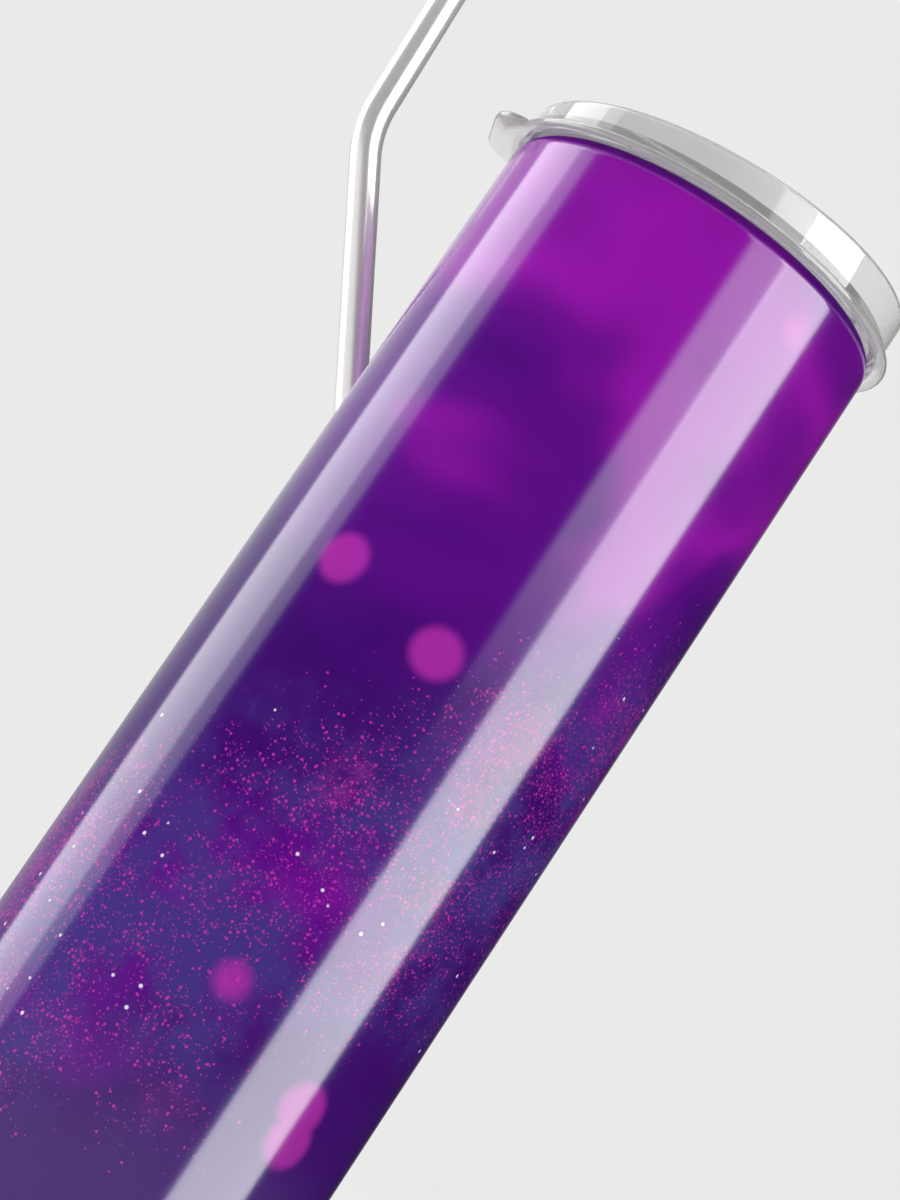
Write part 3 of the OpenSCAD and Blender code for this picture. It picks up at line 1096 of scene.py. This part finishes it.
    def stops(self) -> list[Piece]:
        """Low stops across the two ends of the rails.

        Returns:
            The rear stop and the front stop.
        """
        half_w = self.rail_y + self.rail_wall
        top = self.slider_z + self.slider.flange_t / 2
        low = Vector((self.rail_front, -half_w, self.rail_z))
        high = Vector((self.rail_front + self.rail_wall, half_w, top))
        stop = block("stop", low, high)
        soften(stop, self.stop_edge_r)
        rear_stop = twin(stop)
        rear_stop.location.x = self.rail_rear - self.rail_wall - self.rail_front
        settle(rear_stop)
        return [rear_stop, stop]

    def build_gasket(self) -> None:
        """Turn the silicone ring with its two lips."""
        low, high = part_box("lid_gasket")
        inner_r = self.groove_r + self.gasket_gap
        lip_r = high.x
        middle = (low.z + high.z) / 2
        lip_h = self.groove_h / 4
        round_r = self.lip_edge_r
        outline = [(inner_r, low.z), (self.plug_r, low.z)]
        for lip_z in (low.z + lip_h, high.z - lip_h / 2):
            outline += arc((lip_r - round_r, lip_z), round_r, -70.0, 70.0, steps=6)
            outline += [(self.plug_r, middle)] if lip_z < middle else [(self.plug_r, high.z)]
        outline += [(inner_r, high.z), outline[0]]
        gasket = turn("plug_gasket", outline)
        seat(gasket, SILICONE.build(), "lid", "silicone", "lid_gasket")


@dataclass
class Straw:
    """Bent polished tube that leans past the body.

    Attributes:
        vessel: The body that the straw stands behind.
        radius: Outer radius of the tube.
        wall: Wall of the tube.
        edge_r: Radius of the rounded ends.
        leg_l: Length of the straight lower leg.
        tip_l: Length of the straight upper leg.
        bend_r: Radius of the bend, on the axis.
        bend: Angle of the bend, in degrees.
        lean: Lean of the lower leg from upright, in degrees.
        heading: Heading of the lean about the vertical, in degrees.
        run: Level distance from the foot to the place where the leg passes the wall.
        gap: Gap between the straw and the wall.
        sides: Number of sides of the tube.
        bend_steps: Number of steps round the bend.
    """

    vessel: Vessel
    radius: float = 3.0 * MM
    wall: float = 0.5 * MM
    edge_r: float = 0.2 * MM
    leg_l: float = 224.0 * MM
    tip_l: float = 42.0 * MM
    bend_r: float = 22.0 * MM
    bend: float = 28.0
    lean: float = 31.0
    heading: float = 189.3
    run: float = 60.0 * MM
    gap: float = 0.3 * MM
    sides: int = 64
    bend_steps: int = 24

    def placement(self) -> Matrix:
        """Work out where the straw leans.

        Returns:
            Matrix from the upright straw to its leaning place.
        """
        heading = math.radians(self.heading)
        along = Vector((math.cos(heading), math.sin(heading), 0.0))
        aside = Vector((math.sin(heading), -math.cos(heading), 0.0))
        off = self.vessel.radius + self.radius + self.gap
        foot = aside * off - along * self.run
        foot.z = self.radius * math.sin(math.radians(self.lean))
        turned = Matrix.Rotation(heading, 4, "Z") @ Matrix.Rotation(math.radians(self.lean), 4, "Y")
        return Matrix.Translation(foot) @ turned

    def finish(self) -> Finish:
        """Polished steel with fine draw marks along the lower leg.

        Returns:
            The finish.
        """
        turned = tuple(self.placement().to_euler())
        return Finish(
            name="drawn_tube", colour=(0.85, 0.84, 0.82, 1.0), second=(0.89, 0.885, 0.87, 1.0),
            marks=Marks(scale=900.0, low=0.24, high=0.32, stretch=(1.0, 1.0, 30.0), turned=turned),
            constants={"Metallic": 0.5},
        )

    def build(self) -> None:
        """Draw the tube: lower leg, bend and upper leg, then give it a wall with rounded ends."""
        bend = math.radians(self.bend)
        deselect()
        bpy.ops.mesh.primitive_circle_add(vertices=self.sides, radius=self.radius)
        straw = named("bent_straw")
        with editing(straw):
            bpy.ops.mesh.select_all(action="SELECT")
            bpy.ops.mesh.extrude_edges_move(TRANSFORM_OT_translate={"value": (0.0, 0.0, self.leg_l)})
            bpy.ops.mesh.spin(steps=self.bend_steps, angle=bend, center=(-self.bend_r, 0.0, self.leg_l),
                              axis=(0.0, 1.0, 0.0))
            upward = (-math.sin(bend) * self.tip_l, 0.0, math.cos(bend) * self.tip_l)
            bpy.ops.mesh.extrude_edges_move(TRANSFORM_OT_translate={"value": upward})
            close_up()
        modify(straw, "SOLIDIFY", thickness=self.wall, offset=-1.0)
        soften(straw, self.edge_r, segments=2)
        straw.matrix_world = self.placement()
        settle(straw)
        seat(straw, self.finish().build(), "straw", "straw_steel", "straw")


@dataclass(frozen=True)
class Card:
    """Lit card that the gloss mirrors.

    Attributes:
        name: Name of the lamp.
        azimuth: Direction from the body's axis, in degrees from +X towards +Y.
        width: Width of the card.
        glow: Brightness of the card's face.
        height: Height of the card's middle.
        tall: Height of the card.
        distance: Distance from the body's axis.
    """

    name: str
    azimuth: float
    width: float
    glow: float
    height: float = 0.25
    tall: float = 0.9
    distance: float = 0.55


@dataclass
class Room:
    """World round the part: a level of light for each direction and kind of ray.

    Attributes:
        pale: Brightness of the background.
        dark: Brightness of the dark side of the room in reflections.
        mirrored: Brightness of the pale side of the room in reflections.
        through: Brightness of the background through clear pieces.
        glare: Brightness of the background's right part through clear pieces.
        shade: Brightness of the dark side of the room through clear pieces.
        ambient: Brightness of the even light on dull surfaces.
        left_fill: Brightness that the left side adds to the even light.
        sheet_azimuth: Direction of the hanging sheet, in degrees from +X towards +Y.
        sheet_spread: Angle that the sheet takes up, in degrees.
        sheet_glow: Brightness of the sheet's upper part.
        sheet_blur: Softness of the sheet's upright edges.
        tint: Colour of the room's light.
    """

    pale: float = 0.825
    dark: float = 0.02
    mirrored: float = 1.0
    through: float = 0.44
    glare: float = 0.80
    shade: float = 0.24
    ambient: float = 0.90
    left_fill: float = 0.65
    sheet_azimuth: float = -57.0
    sheet_spread: float = 22.4
    sheet_glow: float = 4.2
    sheet_blur: float = 0.03
    tint: Colour = (1.0, 0.998, 0.994, 1.0)

    def __post_init__(self) -> None:
        """Start the world's nodes from the three parts of a ray's direction."""
        world = bpy.data.worlds.new("studio")
        bpy.context.scene.world = world
        world.use_nodes = True
        self.graph = Graph(world.node_tree, "Generated")
        self.x, self.y, self.z = self.graph.axes()

    def build(self) -> None:
        """Give each kind of ray its own level."""
        graph = self.graph
        path = graph.add("LightPath")
        level = graph.blend(path.outputs["Is Glossy Ray"], self.soft(), self.gloss())
        level = graph.blend(path.outputs["Is Transmission Ray"], level, self.beyond())
        level = graph.blend(path.outputs["Is Camera Ray"], level, self.pale)
        shader = graph.add("Background", {"Color": self.tint, "Strength": level})
        graph.add("OutputWorld", {"Surface": shader.outputs[0]})

    def soft(self) -> Socket:
        """Brightness of the room as it lights dull surfaces: even, with a rise towards the left."""
        left = self.graph.ramp(self.x, -0.45, -0.95)
        return self.graph.blend(left, self.ambient, self.ambient + self.left_fill)

    def gloss(self) -> Socket:
        """Brightness of the room as gloss mirrors it.

        Returns:
            A level that is pale behind on the left, overhead and low down, and dark elsewhere.
        """
        graph = self.graph
        left = graph.math("MULTIPLY_ADD", self.x, -0.85, graph.times(self.y, 0.5))
        left = graph.times(graph.ramp(left, 0.1, 0.75), graph.ramp(self.y, -0.25, 0.1))
        left = graph.times(left, graph.blend(graph.ramp(self.z, -0.05, 0.3), 0.4, 1.0))
        over = graph.ramp(self.z, 0.75, 0.95)
        under = graph.ramp(self.z, -0.06, -0.14)
        lit = graph.math("MAXIMUM", left, graph.math("MAXIMUM", over, under))
        return graph.math("ADD", graph.blend(lit, self.dark, self.mirrored), self.sheet())

    def sheet(self) -> Socket:
        """Glow of a hanging sheet beside the right card, which fades towards its foot.

        Returns:
            The glow, which is zero away from the sheet.
        """
        graph = self.graph
        cosine = math.cos(math.radians(self.sheet_azimuth))
        sine = math.sin(math.radians(self.sheet_azimuth))
        half = math.sin(math.radians(self.sheet_spread / 2))
        ahead = graph.math("MULTIPLY_ADD", self.x, cosine, graph.times(self.y, sine))
        aside = graph.math("MULTIPLY_ADD", self.x, -sine, graph.times(self.y, cosine))
        off = graph.math("ABSOLUTE", aside)
        across = graph.ramp(off, half + self.sheet_blur, half - self.sheet_blur)
        across = graph.times(across, graph.ramp(ahead, 0.0, 0.3))
        return graph.times(across, graph.times(graph.ramp(self.z, 0.07, 0.30), self.sheet_glow))

    def beyond(self) -> Socket:
        """Brightness that shows through clear pieces.

        Returns:
            A level that is grey behind, paler on the right, bright overhead and dark in front and below.
        """
        graph = self.graph
        behind = graph.blend(graph.ramp(self.x, -0.02, 0.06), self.through, self.glare)
        level = graph.blend(graph.ramp(self.y, 0.15, 1.0), self.shade, behind)
        level = graph.blend(graph.ramp(self.z, 0.4, 0.75), level, 1.0)
        return graph.blend(graph.ramp(self.z, -0.3, 0.0), self.shade, level)


def hang(light: bpy.types.Light, place: Vector, facing: Vector) -> Piece:
    """Hang a lamp that neither the camera nor clear pieces show.

    Args:
        light: The lamp's light.
        place: Place of the lamp.
        facing: Direction from what it lights to the lamp.

    Returns:
        The lamp.
    """
    lamp = bpy.data.objects.new(light.name, light)
    bpy.context.scene.collection.objects.link(lamp)
    lamp.location = place
    lamp.rotation_euler = facing.to_track_quat("Z", "Y").to_euler()
    lamp.visible_camera = False
    lamp.visible_transmission = False
    return lamp


@dataclass
class Studio:
    """Pale floor and room, lit cards, soft key lamp and camera.

    Attributes:
        camera_at: Place of the camera.
        camera_turn: Turn of the camera about x, y and z, in degrees.
        lens: Focal length in millimetres.
        sensor: Long side of the picture in the camera, in millimetres.
        floor_size: Side of the floor.
        key_at: Place of the soft key lamp.
        key_size: Width of the key lamp.
        key_power: Power of the key lamp, in watts.
        cards: Lit cards.
    """

    camera_at: Triple = (0.0, -478.34 * MM, 51.08 * MM)
    camera_turn: Triple = (101.04, -33.37, -5.859)
    lens: float = 85.0
    sensor: float = 36.0
    floor_size: float = 8.0
    key_at: Triple = (-0.25, -0.3, 1.4)
    key_size: float = 1.4
    key_power: float = 2.0
    cards: tuple[Card, ...] = (
        Card("left_card", azimuth=165.0, width=0.28, glow=4.7),
        Card("left_strip", azimuth=184.5, width=0.11, glow=1.8),
        Card("right_card", azimuth=-29.0, width=0.38, glow=10.0, height=0.30, tall=1.0),
    )

    def build(self) -> None:
        """Set up the whole studio."""
        self.build_floor()
        Room().build()
        for card in self.cards:
            self.build_card(card)
        self.build_key()
        self.build_camera()
        bpy.context.scene.view_settings.view_transform = "Standard"

    def build_floor(self) -> None:
        """Lay the pale floor."""
        deselect()
        bpy.ops.mesh.primitive_plane_add(size=self.floor_size)
        floor = named("floor")
        finish = Finish(
            name="pale_floor", colour=(0.842, 0.842, 0.838, 1.0), second=(0.852, 0.852, 0.848, 1.0),
            marks=Marks(scale=40.0, low=0.7, high=0.85), constants={"Specular IOR Level": 0.0},
        )
        floor.data.materials.append(finish.build())
        floor.visible_glossy = False

    def build_card(self, card: Card) -> None:
        """Hang one lit card, facing the body's axis.

        Args:
            card: The card's place, size and brightness.
        """
        light = bpy.data.lights.new(card.name, "AREA")
        light.shape = "RECTANGLE"
        light.size = card.width
        light.size_y = card.tall
        light.energy = card.glow * math.pi * card.width * card.tall
        azimuth = math.radians(card.azimuth)
        facing = Vector((math.cos(azimuth), math.sin(azimuth), 0.0))
        place = facing * card.distance
        place.z = card.height
        hang(light, place, facing).visible_diffuse = False

    def build_key(self) -> None:
        """Hang the large soft lamp overhead, which gloss doesn't show."""
        light = bpy.data.lights.new("soft_key", "AREA")
        light.shape = "DISK"
        light.size = self.key_size
        light.energy = self.key_power
        place = Vector(self.key_at)
        hang(light, place, place).visible_glossy = False

    def build_camera(self) -> None:
        """Place the camera below the rim, looking up with a strong tilt."""
        camera = bpy.data.cameras.new("camera")
        camera.lens = self.lens
        camera.sensor_width = self.sensor
        holder = bpy.data.objects.new("camera", camera)
        bpy.context.scene.collection.objects.link(holder)
        holder.location = self.camera_at
        holder.rotation_euler = tuple(math.radians(angle) for angle in self.camera_turn)
        bpy.context.scene.camera = holder


def main() -> None:
    """Build every sub-assembly in order, then the studio."""
    logging.basicConfig(level=logging.INFO, format="%(name)s %(message)s")
    vessel = Vessel()
    vessel.build_shell()
    vessel.build_liner()
    vessel.build_base()
    vessel.dress_inner()
    slider = Slider()
    lid = Lid(vessel, slider)
    lid.build_shell()
    lid.build_gasket()
    slider.build_plate()
    slider.build_pad()
    Straw(vessel).build()
    Studio().build()


if __name__ == "__main__":
    main()
